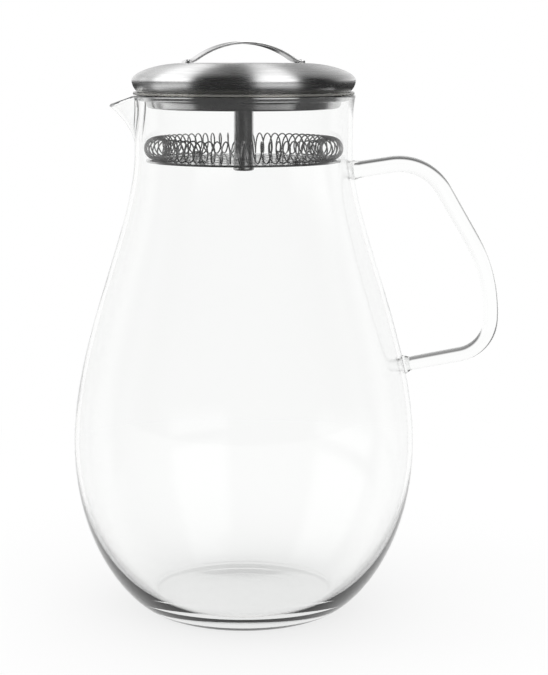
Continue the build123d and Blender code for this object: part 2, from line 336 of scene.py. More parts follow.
class Sheet:
    """The nodes of a material or of the world, with short ways to add and join them."""

    def __init__(self, owner: Owner, ending: str) -> None:
        """Empty the owner's tree but for its output node.

        Args:
            owner: the material or the world.
            ending: the kind of its output node.
        """
        owner.use_nodes = True
        self.owner = owner
        self.tree = owner.node_tree
        self.tree.nodes.clear()
        self.output = self.add(ending)

    @classmethod
    def material(cls, name: str) -> "Sheet":
        """Start a new material."""
        return cls(bpy.data.materials.new(name), "OutputMaterial")

    def add(
        self, kind: str, inputs: dict[str | int, object] | None = None, **settings: object
    ) -> bpy.types.Node:
        """Add a node.

        Args:
            kind: the node's type name after ShaderNode.
            inputs: a value or a socket for each named or numbered input.
            settings: the node's own properties.

        Returns:
            The new node.
        """
        node = self.tree.nodes.new(f"ShaderNode{kind}")
        for key, value in settings.items():
            setattr(node, key, value)
        for key, value in (inputs or {}).items():
            socket = node.inputs[key]
            if isinstance(value, Socket):
                self.tree.links.new(value, socket)
            else:
                socket.default_value = value
        return node

    def maths(self, operation: str, first: Value, second: Value = 0.0) -> Socket:
        """The result of one Math node."""
        return self.add("Math", {0: first, 1: second}, operation=operation).outputs[0]

    def product(self, *factors: Value) -> Socket:
        """The factors multiplied."""
        return reduce(lambda first, second: self.maths("MULTIPLY", first, second), factors)

    def total(self, *terms: Value) -> Socket:
        """The terms added up."""
        return reduce(lambda first, second: self.maths("ADD", first, second), terms)

    def rest(self, value: Value) -> Socket:
        """What is left of 1 when the value is taken away."""
        return self.maths("SUBTRACT", 1.0, value)

    def past(self, count: Value, limit: int) -> Socket:
        """1 where a whole number is past the limit, else 0."""
        return self.maths("GREATER_THAN", count, limit + 0.5)

    def pick(self, test: Value, chosen: Value, other: Value) -> Socket:
        """The chosen number where the test is 1, and the other where it is 0."""
        inputs = {0: test, 2: other, 3: chosen}
        return self.add("Mix", inputs, data_type="FLOAT").outputs[0]

    def tint(self, share: Value, first: Colour, second: Colour) -> Socket:
        """The first colour where the share is 0, the second where it is 1."""
        inputs = {0: share, 6: first, 7: second}
        return self.add("Mix", inputs, data_type="RGBA").outputs[2]

    def place(self) -> Socket:
        """The object's own coordinates, in metres."""
        return self.add("TexCoord").outputs["Object"]

    def facing(self) -> Socket:
        """How far the surface turns away from the eye: 0 square on, 1 edge on."""
        return self.add("LayerWeight", {"Blend": 0.5}).outputs["Facing"]

    def split(self, vector: Socket) -> list[Socket]:
        """The x, y and z of a vector."""
        return list(self.add("SeparateXYZ", {0: vector}).outputs)

    def reach(self, x: Value, y: Value) -> Socket:
        """The length of (x, y)."""
        return self.maths("SQRT", self.total(*(self.product(each, each) for each in (x, y))))

    def heading(self, x: Value, y: Value, bearing: float) -> tuple[Socket, Socket]:
        """How well (x, y) points along a bearing.

        Args:
            x: the direction's share along X.
            y: its share along Y.
            bearing: the bearing in degrees, from +X towards +Y.

        Returns:
            The cosine of the angle between the two, and the length of (x, y).
        """
        way, length = radians(bearing), self.reach(x, y)
        along = self.total(self.product(x, cos(way)), self.product(y, sin(way)))
        return self.maths("DIVIDE", along, length), length

    def noise(self, vector: Socket, scale: float, detail: float = FINE_DETAIL) -> Socket:
        """Noise between 0 and 1."""
        inputs = {"Vector": vector, "Scale": scale, "Detail": detail}
        return self.add("TexNoise", inputs).outputs["Fac"]

    def span(
        self, value: Value, source: Pair, result: Pair = (0.0, 1.0), soft: bool = False
    ) -> Socket:
        """A value mapped from one range to another.

        Args:
            value: the value to map.
            source: the range that it comes from.
            result: the range that it goes to.
            soft: whether it eases in and out.

        Returns:
            The mapped value, held inside its range.
        """
        inputs = {0: value, 1: source[0], 2: source[1], 3: result[0], 4: result[1]}
        kind = "SMOOTHSTEP" if soft else "LINEAR"
        return self.add("MapRange", inputs, interpolation_type=kind).outputs[0]

    def ramp(self, factor: Socket, stops: tuple[Pair, ...]) -> Socket:
        """A grey ramp.

        Args:
            factor: the value that runs along the ramp.
            stops: position and grey level of each stop.

        Returns:
            The ramp's colour socket.
        """
        node = self.add("ValToRGB", {"Fac": factor})
        elements = node.color_ramp.elements
        while len(elements) < len(stops):
            elements.new(1.0)
        for element, (position, level) in zip(elements, stops):
            element.position = position
            element.color = (level, level, level, 1)
        return node.outputs["Color"]

    def bump(self, height: Socket, strength: float, distance: float) -> Socket:
        """The normal bent by a height."""
        inputs = {"Height": height, "Strength": strength, "Distance": distance}
        return self.add("Bump", inputs).outputs["Normal"]

    def mix(self, share: Value, first: bpy.types.Node, second: bpy.types.Node) -> Socket:
        """The first shader where the share is 0, the second where it is 1."""
        inputs = {0: share, 1: first.outputs[0], 2: second.outputs[0]}
        return self.add("MixShader", inputs).outputs[0]

    def close(self, surface: Socket) -> Owner:
        """Join the surface to the output and give the owner back."""
        self.tree.links.new(surface, self.output.inputs["Surface"])
        return self.owner


class RaySheet(Sheet):
    """The nodes of the floor or of the world, which answer each kind of ray in its own way."""

    def __init__(self, owner: Owner, ending: str) -> None:
        """Empty the owner's tree and sort the rays.

        Args:
            owner: the material or the world.
            ending: the kind of its output node.
        """
        super().__init__(owner, ending)
        self.path = self.add("LightPath").outputs
        passes = self.path["Transmission Depth"]
        self.sharp = self.path["Is Singular Ray"]
        self.looked = self.rest(self.path["Is Diffuse Ray"])
        self.reflected = self.past(self.path["Glossy Depth"], 0)
        # Metal blurs what it mirrors, and metal behind glass is seen through the glass's faces
        blurred = self.maths("MAXIMUM", self.rest(self.sharp), self.past(passes, WALL_PASSES))
        self.off_metal = self.product(self.reflected, self.looked, blurred)
        # A ray goes into solid glass and out of it once, and isn't reflected
        entered, spent = (self.past(passes, limit) for limit in (ROD_PASSES - 1, ROD_PASSES))
        self.off_rod = self.product(entered, self.rest(spent), self.rest(self.reflected))


@dataclass(frozen=True)
class ClearGlass:
    """Clear blown glass: faintly wavy, with painted shade that greys it where it is seen edge on,
    and open to the lamps.
    """

    name: str = "clear_blown_glass"
    ior: float = 1.47
    body: Colour = (0.995, 0.998, 0.995, 1)
    # Painted shade: where the glass is seen edge on its colour turns to this grey, in place of the
    # dark edge lines from its surroundings
    edge: Colour = (0.42, 0.43, 0.41, 1)
    edge_shade_start: float = 0.86
    gloss: Colour = (0.45, 0.45, 0.45, 1)
    wave: float = 0.010
    wave_scale: float = 34.0
    wave_detail: float = 1.0
    wave_depth: float = 0.004
    shade: Colour = (0.95, 0.955, 0.95, 1)

    def make(self) -> Material:
        """Build the material.

        Returns:
            The material, whose glass lets the lamps' shadow rays through.
        """
        sheet = Sheet.material(self.name)
        # Painted shade: the share of the grey edge colour, rising where the glass is seen edge on
        rim = sheet.span(sheet.facing(), (self.edge_shade_start, 1.0))
        waves = sheet.noise(sheet.place(), self.wave_scale, self.wave_detail)
        glass = sheet.add(
            "BsdfPrincipled",
            {
                "Base Color": sheet.tint(rim, self.body, self.edge),
                "Roughness": 0.0,
                "IOR": self.ior,
                "Transmission Weight": 1.0,
                "Specular Tint": self.gloss,
                "Normal": sheet.bump(waves, self.wave, self.wave_depth),
            },
        )
        lamp_ray = sheet.add("LightPath").outputs["Is Shadow Ray"]
        clear = sheet.add("BsdfTransparent", {"Color": self.shade})
        return sheet.close(sheet.mix(lamp_ray, glass, clear))


@dataclass(frozen=True)
class Silicone:
    """Food-grade silicone: see-through, faintly warm, soft and slightly cloudy."""

    name: str = "clear_silicone"
    ior: float = 1.41
    clear: Colour = (0.86, 0.85, 0.79, 1)
    haze: Colour = (0.94, 0.93, 0.89, 1)
    rough: float = 0.18
    see_through: float = 0.88
    cloud_scale: float = 240.0
    relief: float = 0.08
    relief_depth: float = 0.0004

    def make(self) -> Material:
        """Build the material.

        Returns:
            The material.
        """
        sheet = Sheet.material(self.name)
        cloud = sheet.noise(sheet.place(), self.cloud_scale)
        body = sheet.add(
            "BsdfPrincipled",
            {
                "Base Color": sheet.tint(cloud, self.clear, self.haze),
                "Roughness": self.rough,
                "IOR": self.ior,
                "Transmission Weight": self.see_through,
                "Normal": sheet.bump(cloud, self.relief, self.relief_depth),
            },
        )
        return sheet.close(body.outputs[0])


@dataclass(frozen=True)
class Steel:
    """Stainless steel with fine working lines that change its colour, roughness and height."""

    name: str
    grain: Grain
    light: float = 0.64
    dark: float = 0.50
    smooth: float = 0.16
    rough: float = 0.28
    lines: float = 1500.0
    stretch: float = 0.012
    round_stretch: float = 2.0
    cloud_scale: float = 60.0
    line_share: float = 0.7
    smear_share: float = 0.3
    smear_scale: float = 45.0
    contrast: Pair = (0.3, 0.7)
    relief: float = 0.08
    relief_depth: float = 0.00005
    anisotropy: float = 0.0
    across_grain: float = 0.25
    turn: float = 0.0

    def _line_place(self, sheet: Sheet) -> Socket:
        """The coordinates that the lines are drawn on: drawn out along the grain, fine across it.

        Args:
            sheet: the material's nodes.

        Returns:
            The coordinates.
        """
        place = sheet.place()
        if self.grain is Grain.ROUND:
            x, y, z = sheet.split(place)
            turned = sheet.product(sheet.maths("ARCTAN2", y, x), self.round_stretch)
            outward, upward = (sheet.product(each, self.lines) for each in (sheet.reach(x, y), z))
            rings = {0: outward, 1: upward, 2: turned}
            return sheet.add("CombineXYZ", rings).outputs[0]
        inputs = {"Vector": place, "Scale": (self.cloud_scale,) * 3}
        if self.grain is Grain.ALONG:
            inputs["Rotation"] = (0, 0, radians(-self.turn))
            inputs["Scale"] = (self.lines * self.stretch, self.lines, self.lines)
        return sheet.add("Mapping", inputs).outputs[0]

    def make(self) -> Material:
        """Build the material.

        Returns:
            The material.
        """
        sheet = Sheet.material(self.name)
        lines = sheet.noise(self._line_place(sheet), 1.0)
        smears = sheet.noise(sheet.place(), self.smear_scale)
        shares = ((lines, self.line_share), (smears, self.smear_share))
        both = sheet.total(*(sheet.product(*each) for each in shares))
        colours = tuple(zip(self.contrast, (self.dark, self.light)))
        inputs = {
            "Base Color": sheet.ramp(both, colours),
            "Metallic": 1.0,
            "Roughness": sheet.span(both, self.contrast, (self.rough, self.smooth)),
            "Normal": sheet.bump(lines, self.relief, self.relief_depth),
        }
        if self.anisotropy:
            tangent = sheet.add("Tangent", direction_type="RADIAL", axis="Z").outputs[0]
            inputs["Anisotropic"] = self.anisotropy
            inputs["Anisotropic Rotation"] = self.across_grain
            inputs["Tangent"] = tangent
        return sheet.close(sheet.add("BsdfPrincipled", inputs).outputs[0])


@dataclass(frozen=True)
class Finishes:
    """The made materials, one for each slot and one for the strap."""

    glass: Material
    silicone: Material
    brushed: Material
    strap: Material
    polished: Material
    fastener: Material
    wire: Material

    @classmethod
    def make(cls) -> "Finishes":
        """Build every material once.

        Returns:
            The materials.
        """
        steels = (
            Steel("spun_brushed_steel", Grain.ROUND, smooth=0.22, rough=0.34, anisotropy=0.8),
            Steel("strap_steel", Grain.ALONG, 0.86, 0.72, smooth=0.08, rough=0.16, turn=12.0),
            Steel("pressed_steel", Grain.ROUND, smooth=0.10, rough=0.18, relief=0.04, lines=3000),
            Steel("fastener_steel", Grain.CLOUDED, 0.60, 0.48, smooth=0.2, rough=0.34),
            Steel("spring_wire_steel", Grain.CLOUDED, 0.34, 0.20, smooth=0.14, rough=0.26),
        )
        return cls(*(finish.make() for finish in (ClearGlass(), Silicone(), *steels)))


def dress(
    shape: Shape, material: Material, body: Body, node: str
) -> None:
    """Finish a new piece.

    Args:
        shape: the piece.
        material: what it is made of.
        body: the body that it rides on.
        node: the CAD node that it stands for.
    """
    shape.data.materials.clear()
    shape.data.materials.append(material)
    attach(shape, body.value)
    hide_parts(node)


def finish_node(node: str, material: Material) -> None:
    """Give a CAD node that stays its material.

    Args:
        node: the node's name.
        material: what it is made of.
    """
    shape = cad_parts[node]
    shape.data.materials.clear()
    shape.data.materials.append(material)
    LOG.info("%s: CAD node, %s", node, material.name)


def sleeve(name: str, node: str, bore: float, ease: float, turns: int) -> Shape:
    """A ring or tube as wide and as high as its CAD node, with eased edges.

    Args:
        name: the new piece's name.
        node: the CAD node.
        bore: its inner radius.
        ease: how far from each corner the easing starts.
        turns: how many columns go round.

    Returns:
        The new object.
    """
    low, high = node_box(node)
    corners = [(bore, low[2]), (high[0], low[2]), (high[0], high[2]), (bore, high[2])]
    return Piece(name, [spun(rounded(corners, ease), turns)]).build()


# ----- Glass jug -----


@dataclass
class GlassJug:
    """The blown jug, its pulled spout and its rod handle."""

    foot_radius: float = 38.6
    foot_pull: float = 6.4
    belly_radius: float = 70.5
    belly_height: float = 69.0
    belly_pull_down: float = 46.0
    belly_pull_up: float = 43.9
    neck_radius: float = 44.25
    neck_height: float = 189.8
    neck_pull: float = 29.4
    flare_height: float = 203.0
    mouth_radius: float = 45.4
    rim_height: float = 212.9
    glass_wall: float = 1.9
    rim_wall: float = 1.5
    rim_rounding: float = 0.7
    base_thickness: float = 4.2
    floor_radius: float = 36.4
    floor_pull: float = 8.0
    inner_belly_pull: float = 43.0
    push_up: float = 1.1
    push_up_inside: float = 0.4

    spout_root_height: float = 197.2
    spout_lead: float = 4.0
    spout_slope: float = 0.838
    spout_root_depth: float = 8.0
    spout_root_half_width: float = 7.0
    spout_mouth_depth: float = 16.0
    spout_mouth_half_width: float = 15.0
    spout_least_half: float = 1.0
    spout_droop: float = 4.0
    spout_droop_run: float = 10.3
    spout_blend: float = 5.0
    curl: float = 0.9
    curl_height: float = 3.2
    curl_spread: float = 0.2

    rod_diameter: float = 6.4
    handle_corners: tuple[Pair, ...] = (
        (42.46, 182.0),
        (74.3, 186.9),
        (102.2, 139.6),
        (102.2, 108.6),
        (64.67, 101.5),
    )
    handle_bends: tuple[float, ...] = (21.0, 64.0, 15.0)
    rod_swell: float = 1.06
    rod_thinning: float = 0.17
    weld_radius: float = 4.0
    weld_reach: float = 1.5
    weld_gap: float = 0.02

    columns: int = 288
    column_weights: Pair = (0.55, 0.45)
    side_spans: tuple[int, ...] = (44, 56, 3, 14, 22)
    lip_spans: int = 10
    lip_rounds: int = 30
    base_spans: int = 13
    rod_sides: int = 32
    rod_points: int = 220
    bend_points: int = 24
    seat_rings: int = 7
    seat_clearance: int = 2

    @property
    def spout_foot(self) -> float:
        """The height at which the spout's oval first touches the inside of the neck."""
        return self.spout_root_height - self.spout_lead

    def _side(self, wall: float) -> Array:
        """Radius and height up the side.

        Args:
            wall: how far inside the glass the side lies, 0 for the outside.

        Returns:
            The points from the foot to the lip.
        """
        foot, pull, drop = self.foot_radius, self.foot_pull, self.belly_pull_down
        low, lip = 0.0, self.mouth_radius
        if wall:
            foot, pull, drop = self.floor_radius, self.floor_pull, self.inner_belly_pull
            low, lip = self.base_thickness, self.mouth_radius - self.rim_wall
        belly, neck = self.belly_radius - wall, self.neck_radius - wall
        middle, throat = self.belly_height, self.neck_height
        half_flare = (self.flare_height + self.rim_height) / 2
        runs = [
            [(foot + pull, low), (belly, middle - drop), (belly, middle)],
            [(belly, middle + self.belly_pull_up), (neck, throat - self.neck_pull), (neck, throat)],
            [(neck, self.spout_foot)],
            [(neck, self.flare_height)],
            [(neck, half_flare), (lip, self.rim_height)],
        ]
        return drawn((foot, low), *zip(self.side_spans, runs))

    def _around(self, height: Array, wall: float = 0.0) -> Array:
        """The round side's radius at heights above the belly.

        Args:
            height: the heights.
            wall: how far inside the glass the side lies.

        Returns:
            The radius at each height.
        """
        side = self._side(wall)
        rising = side[side[:, 1] >= self.belly_height]
        return np.interp(height, rising[:, 1], rising[:, 0])

    def _reach(self, angle: Array, height: Array, wall: float) -> Array:
        """The polar radius of the jug with its spout.

        It is the larger of the round side's radius and the far crossing of the ray at that angle
        with the spout's oval, whose size and centre grow in step with the height.

        Args:
            angle: the direction of each point, from +X.
            height: the height of each point.
            wall: how far inside the glass the surface lies.

        Returns:
            The radius at each point.
        """
        climb = height - self.spout_root_height
        share = climb / (self.rim_height - self.spout_root_height)
        root, root_half = self.spout_root_depth, self.spout_root_half_width
        depth = root + share * (self.spout_mouth_depth - root)
        width = root_half + share * (self.spout_mouth_half_width - root_half)
        centre = depth - self.neck_radius - self.spout_slope * climb
        depth, width = (np.maximum(each - wall, self.spout_least_half) for each in (depth, width))
        square = np.cos(angle) ** 2 / depth**2 + np.sin(angle) ** 2 / width**2
        linear = -2 * centre * np.cos(angle) / depth**2
        plain = centre**2 / depth**2 - 1
        spout = (np.sqrt(np.maximum(linear**2 - 4 * square * plain, 0)) - linear) / (2 * square)
        return soft_max(self._around(height, wall), spout, self.spout_blend)

    def _lip(self, angle: Array, wall: float) -> Array:
        """The height of the lip, which falls away towards the tip of the spout.

        The height and the radius depend on each other, so they are worked out in rounds.

        Args:
            angle: the angles of the columns.
            wall: how far inside the glass the lip lies.

        Returns:
            The height at each angle.
        """
        start = self.rim_wall - self.mouth_radius
        slope = self.spout_droop / self.spout_droop_run
        height = np.full_like(angle, self.rim_height)
        for _ in range(self.lip_rounds):
            beyond = start - self._reach(angle, height, wall) * np.cos(angle)
            height = self.rim_height - slope * np.maximum(beyond, 0)
        return height

    def _skin(self, angle: Array, wall: float) -> Array:
        """Radius and height of one skin of the glass, from its foot to just below the lip.

        Above the spout's foot the rows rise in step from the foot to the lip, and close to the
        spout's tip they curl outwards with the square of their nearness to the lip.

        Args:
            angle: the angles of the columns.
            wall: how far inside the glass the skin lies.

        Returns:
            Radius and height of each point, one row for each level.
        """
        side = self._side(wall)
        reach, height = side[:, :1] + 0 * angle, side[:, 1:] + 0 * angle
        above = side[:, 1] > self.spout_foot
        lip = self._lip(angle, wall) - self.rim_rounding
        share = (height[above] - self.spout_foot) / (self.rim_height - self.spout_foot)
        height[above] = self.spout_foot + share * (lip - self.spout_foot)
        near_lip = np.maximum(1 - (lip - height[above]) / self.curl_height, 0)
        near_tip = np.exp(-(((angle - pi) / self.curl_spread) ** 2))
        curl = self.curl * near_lip**2 * near_tip
        reach[above] = self._reach(angle, height[above], wall) + curl
        return np.stack([reach, height], axis=-1)

    def body(self) -> Shape:
        """The jug: the outer skin, the rounded lip and the inner skin in one closed surface.

        Its columns lie closer together round the spout: an even share of a turn and its cube.

        Returns:
            The new object.
        """
        share = np.linspace(-1, 1, self.columns + 1)
        even, cubed = self.column_weights
        angle = pi + pi * (even * share + cubed * share**3)
        outer, inner = self._skin(angle, 0.0), self._skin(angle, self.glass_wall)
        lip = rolled(outer[-1], inner[-1], self.rim_rounding, self.lip_spans)
        out = np.linspace(0, 1, self.base_spans + 1)[:-1, None] + 0 * angle
        hollow = self.push_up * (1 - out**2) ** 2
        base = np.stack([self.foot_radius * out, hollow], axis=-1)
        raised = self.base_thickness + self.push_up_inside * hollow
        floor = np.stack([self.floor_radius * out, raised], axis=-1)
        rows = np.concatenate([base, outer, lip, inner[::-1], floor[::-1]])
        grid = polar(rows[..., 0], rows[..., 1], angle)
        grid[0], grid[-1] = grid[0, :1], grid[-1, :1]
        return Piece("jug_glass", [grid]).build()

    def _rod_path(self) -> Array:
        """The handle's centre line: straight runs joined by tangent arcs, then spaced evenly.

        Returns:
            Radius and height of each point.
        """
        corners = np.asarray(self.handle_corners, float)
        path = [corners[:1]]
        triples = zip(corners, corners[1:-1], corners[2:], self.handle_bends)
        for before, corner, after, bend in triples:
            inward, outward = corner - before, after - corner
            inward, outward = (way / np.linalg.norm(way) for way in (inward, outward))
            turn = np.arccos(np.clip(inward @ outward, -1, 1))
            start = corner - inward * bend * np.tan(turn / 2)
            side = np.array([inward[1], -inward[0]])
            swing = np.linspace(0, turn, self.bend_points)[:, None]
            path.append(start + bend * (inward * np.sin(swing) + side * (1 - np.cos(swing))))
        line = np.concatenate([*path, corners[-1:]])
        along = travelled(line)
        even = np.linspace(0, along[-1], self.rod_points)
        return np.stack([np.interp(even, along, each) for each in line.T], axis=-1)

    def handle(self) -> Shape:
        """The rod: a circle carried along the centre line, swelling where it melts onto the jug.

        Returns:
            The new object.
        """
        line = self._rod_path()
        line = line[line[:, 0] > self._around(line[:, 1]) + self.weld_gap]
        along = travelled(line)
        ends = (along, along[-1] - along)
        swell = sum(np.exp(-((each / self.weld_reach) ** 2)) for each in ends)
        share = along / along[-1]
        rod = self.rod_diameter / 2 * (self.rod_swell - self.rod_thinning * share)
        radius = rod + (self.weld_radius - rod) * swell
        way = np.gradient(line, axis=0)
        way /= np.linalg.norm(way, axis=1, keepdims=True)
        path = np.stack([line[:, 0], 0 * along, line[:, 1]], axis=-1)
        up = np.stack([-way[:, 1], 0 * along, way[:, 0]], axis=-1)
        across = np.tile([0.0, 1.0, 0.0], (len(path), 1))
        tube = carried(path, across, up, radius[:, None, None] * ring(self.rod_sides))
        upper, lower = (self._seat(edge) for edge in (tube[0], tube[-1]))
        free = tube[self.seat_clearance : -self.seat_clearance]
        return Piece("jug_handle", [np.concatenate([upper, free, lower[::-1]])]).build()

    def _seat(self, edge: Array) -> Array:
        """The end of the rod, laid on the jug's side.

        Rings that shrink to the centre are moved along X until their distance from Z is the
        side's radius at their height plus the weld's gap.

        Args:
            edge: the rod's last ring.

        Returns:
            Rings from the centre outwards.
        """
        centre = edge[:-1].mean(axis=0)
        rings = centre + np.linspace(0, 1, self.seat_rings)[:, None, None] * (edge - centre)
        reach = self._around(rings[..., 2]) + self.weld_gap
        rings[..., 0] = np.sqrt(np.maximum(reach**2 - rings[..., 1] ** 2, 0))
        rings[0] = rings[0, :1]
        return rings

    def build(self, finishes: Finishes) -> None:
        """Make the jug's pieces and dress them."""
        dress(self.body(), finishes.glass, Body.JUG, "glass_body")
        dress(self.handle(), finishes.glass, Body.JUG, "glass_handle")


# ----- Lid -----


@dataclass
class Lid:
    """The seal, the domed cap with its strap, and the dish below it."""

    sheet: float = 0.7
    seal_gap: float = 0.1
    seal_ease: float = 0.35
    cap_belt_height: float = 4.6
    cap_edge_radius: float = 43.3
    cap_edge_roll: float = 0.3
    cap_flat_radius: float = 24.6
    cap_flat_pull: float = 10.0
    cap_belt_pull: float = 3.3
    cap_spans: tuple[int, ...] = (12, 40, 12)
    cap_edge_spans: int = 8
    strap_width: float = 11.0
    strap_thickness: float = 1.0
    strap_half_span: float = 21.4
    strap_rise: float = 7.65
    strap_foot: float = 3.2
    strap_yaw: float = 12.0
    strap_corner: float = 1.5
    strap_bend: float = 1.6
    strap_edge: float = 0.15
    strap_edge_points: int = 5
    strap_guard: float = 0.5
    strap_spans: int = 160
    rivet_radius: float = 0.9
    rivet_head_radius: float = 1.3
    rivet_head_height: float = 0.5
    rivet_head_spans: int = 10
    rivet_sides: int = 32
    dish_neck_radius: float = 40.3
    dish_floor_radius: float = 39.1
    dish_bead_height: float = 2.2
    dish_bead_gap: float = 0.05
    dish_ease: float = 0.55
    rod_hole_radius: float = 2.1
    turns: int = 192

    def seal(self) -> Shape:
        """The ring between the cap's rolled edge and the lip."""
        bore = self.dish_neck_radius + self.seal_gap
        return sleeve("seal_ring", "lid_gasket", bore, self.seal_ease, self.turns)

    def _cap_outline(self, skin: float) -> Array:
        """Radius and height down the cap, from its middle to its rolled edge.

        Args:
            skin: how far inside the cap's outer face the outline lies.

        Returns:
            The points of the outline.
        """
        low, high = node_box("lid_cap")
        belt = low[2] + self.cap_belt_height
        top, side, flat = high[2] - skin, high[0] - skin, self.cap_flat_radius
        edge = (self.cap_edge_radius - skin, low[2] + self.cap_edge_roll)
        runs = [
            [(flat, top)],
            [(flat + self.cap_flat_pull, top), (side, belt + self.cap_belt_pull), (side, belt)],
            [(side, (low[2] + belt) / 2), edge],
        ]
        return drawn((0, top), *zip(self.cap_spans, runs))

    def cap(self) -> Shape:
        """The spun cap: its outer skin, a round rolled edge and its inner skin.

        Returns:
            The new object.
        """
        outer, inner = self._cap_outline(0.0), self._cap_outline(self.sheet)
        edge = rolled(outer[-1], inner[-1], -self.cap_edge_roll, self.cap_edge_spans)
        outline = np.concatenate([outer, edge, inner[::-1]])
        return Piece("cap_shell", [spun(outline, self.turns)]).build()

    def strap(self) -> Shape:
        """The strap: a flat section carried over an arch.

        The centre line's height is the larger of the flat feet and a circle through the span and
        the rise, eased where they meet. Its half width falls off in a quarter circle at each end.

        Returns:
            The new object.
        """
        foot = node_box("lid_cap")[1][2]
        thick, corner = self.strap_thickness / 2, self.strap_corner
        end = self.strap_half_span + self.strap_foot
        along = end * np.sin(np.linspace(-pi / 2, pi / 2, self.strap_spans + 1))
        bow = (self.strap_half_span**2 + self.strap_rise**2) / (2 * self.strap_rise)
        arch = np.sqrt(bow**2 - along**2) - bow + self.strap_rise
        height = soft_max(np.zeros_like(along), arch, self.strap_bend) + thick
        slope = np.gradient(height, along)
        lean = np.hypot(1, slope)
        left = np.maximum(corner - (end - np.abs(along)), 0)
        width = self.strap_width / 2 - corner + np.sqrt(np.maximum(corner**2 - left**2, 0))
        section = self._eased(np.stack([width, np.full_like(width, thick)], axis=-1))
        path = np.stack([along, 0 * along, foot + height], axis=-1)
        up = np.stack([-slope / lean, 0 * along, 1 / lean], axis=-1)
        across = np.tile([0.0, 1.0, 0.0], (len(path), 1))
        grid = carried(path, across, up, section)
        first, last = (np.broadcast_to(path[row], grid[:1].shape) for row in (0, -1))
        grid = yawed(np.concatenate([first, grid, last]), radians(self.strap_yaw))
        return Piece("strap_handle", [grid]).build()

    def _eased(self, half: Array) -> Array:
        """Rectangular sections with rounded edges.

        Args:
            half: half the width and half the height of each row's section.

        Returns:
            A closed outline for each row, with a guard point on each side of every edge.
        """
        quarter = np.linspace(0, pi / 2, self.strap_edge_points)
        away = np.stack([np.cos(quarter), np.sin(quarter)], axis=-1)
        away = np.concatenate([[(1.0, -self.strap_guard)], away, [(-self.strap_guard, 1.0)]])
        sign = np.array([(1, 1), (-1, 1), (-1, -1), (1, -1)], float).repeat(len(away), axis=0)
        cosines, sines = np.cos(np.arange(4) * pi / 2), np.sin(np.arange(4) * pi / 2)
        spins = np.array([(cosines, sines), (-sines, cosines)]).transpose(2, 0, 1)
        away = np.concatenate(away @ spins)
        section = sign * (half[:, None] - self.strap_edge) + self.strap_edge * away
        return np.concatenate([section, section[:, :1]], axis=1)

    def rivets(self) -> Shape:
        """Two rivets with domed heads outside and flat ones inside.

        Returns:
            The new object.
        """
        top = node_box("lid_cap")[1][2]
        head, under = top + self.strap_thickness, top - self.sheet
        shank, wide, tall = self.rivet_radius, self.rivet_head_radius, self.rivet_head_height
        flats = [(wide, under - tall), (wide, under), (shank, under), (shank, head), (wide, head)]
        dome = (self.rivet_head_spans, [(wide, head + tall), (0, head + tall)])
        outline = drawn((0, under - tall), *((1, [corner]) for corner in flats), dome)
        reach = self.strap_half_span + self.strap_foot / 2
        places = yawed(np.array([(reach, 0, 0), (-reach, 0, 0)]), radians(self.strap_yaw))
        rivet = spun(outline, self.rivet_sides)
        return Piece("strap_rivet_pair", [rivet + place for place in places]).build()

    def dish(self) -> Shape:
        """The pressed dish: floor, leaning wall, bead and the neck that rises into the cap.

        Its outline runs out along the lower face and back along the upper one, a sheet away.

        Returns:
            The new object.
        """
        low, high = node_box("lid_dish")
        floor, bead = low[2], node_box("lid_gasket")[0][2] - self.dish_bead_gap
        shelf, skin = bead - self.dish_bead_height, self.sheet
        hole, wall = self.rod_hole_radius, self.dish_floor_radius
        neck, rim = self.dish_neck_radius, high[0]
        lower = [(hole, floor), (wall, floor), (neck, shelf)]
        lower += [(rim, shelf), (rim, bead), (neck, bead)]
        upper = [
            (neck - skin, bead - skin),
            (rim - skin, bead - skin),
            (rim - skin, shelf + skin),
            (neck - skin, shelf + skin),
            (wall - skin, floor + skin),
            (hole, floor + skin),
        ]
        mouth = [(neck, high[2]), (neck - skin, high[2])]
        outline = rounded(lower + mouth + upper, self.dish_ease)
        return Piece("dish_shell", [spun(outline, self.turns)]).build()

    def build(self, finishes: Finishes) -> None:
        """Make the lid's pieces and dress them.

        Args:
            finishes: the made materials.
        """
        dress(self.seal(), finishes.silicone, Body.SEAL, "lid_gasket")
        dress(self.cap(), finishes.brushed, Body.LID, "lid_cap")
        dress(self.strap(), finishes.strap, Body.LID, "lid_strap")
        dress(self.rivets(), finishes.polished, Body.LID, "strap_rivets")
        dress(self.dish(), finishes.polished, Body.LID, "lid_dish")


# ----- Stem and strainer -----


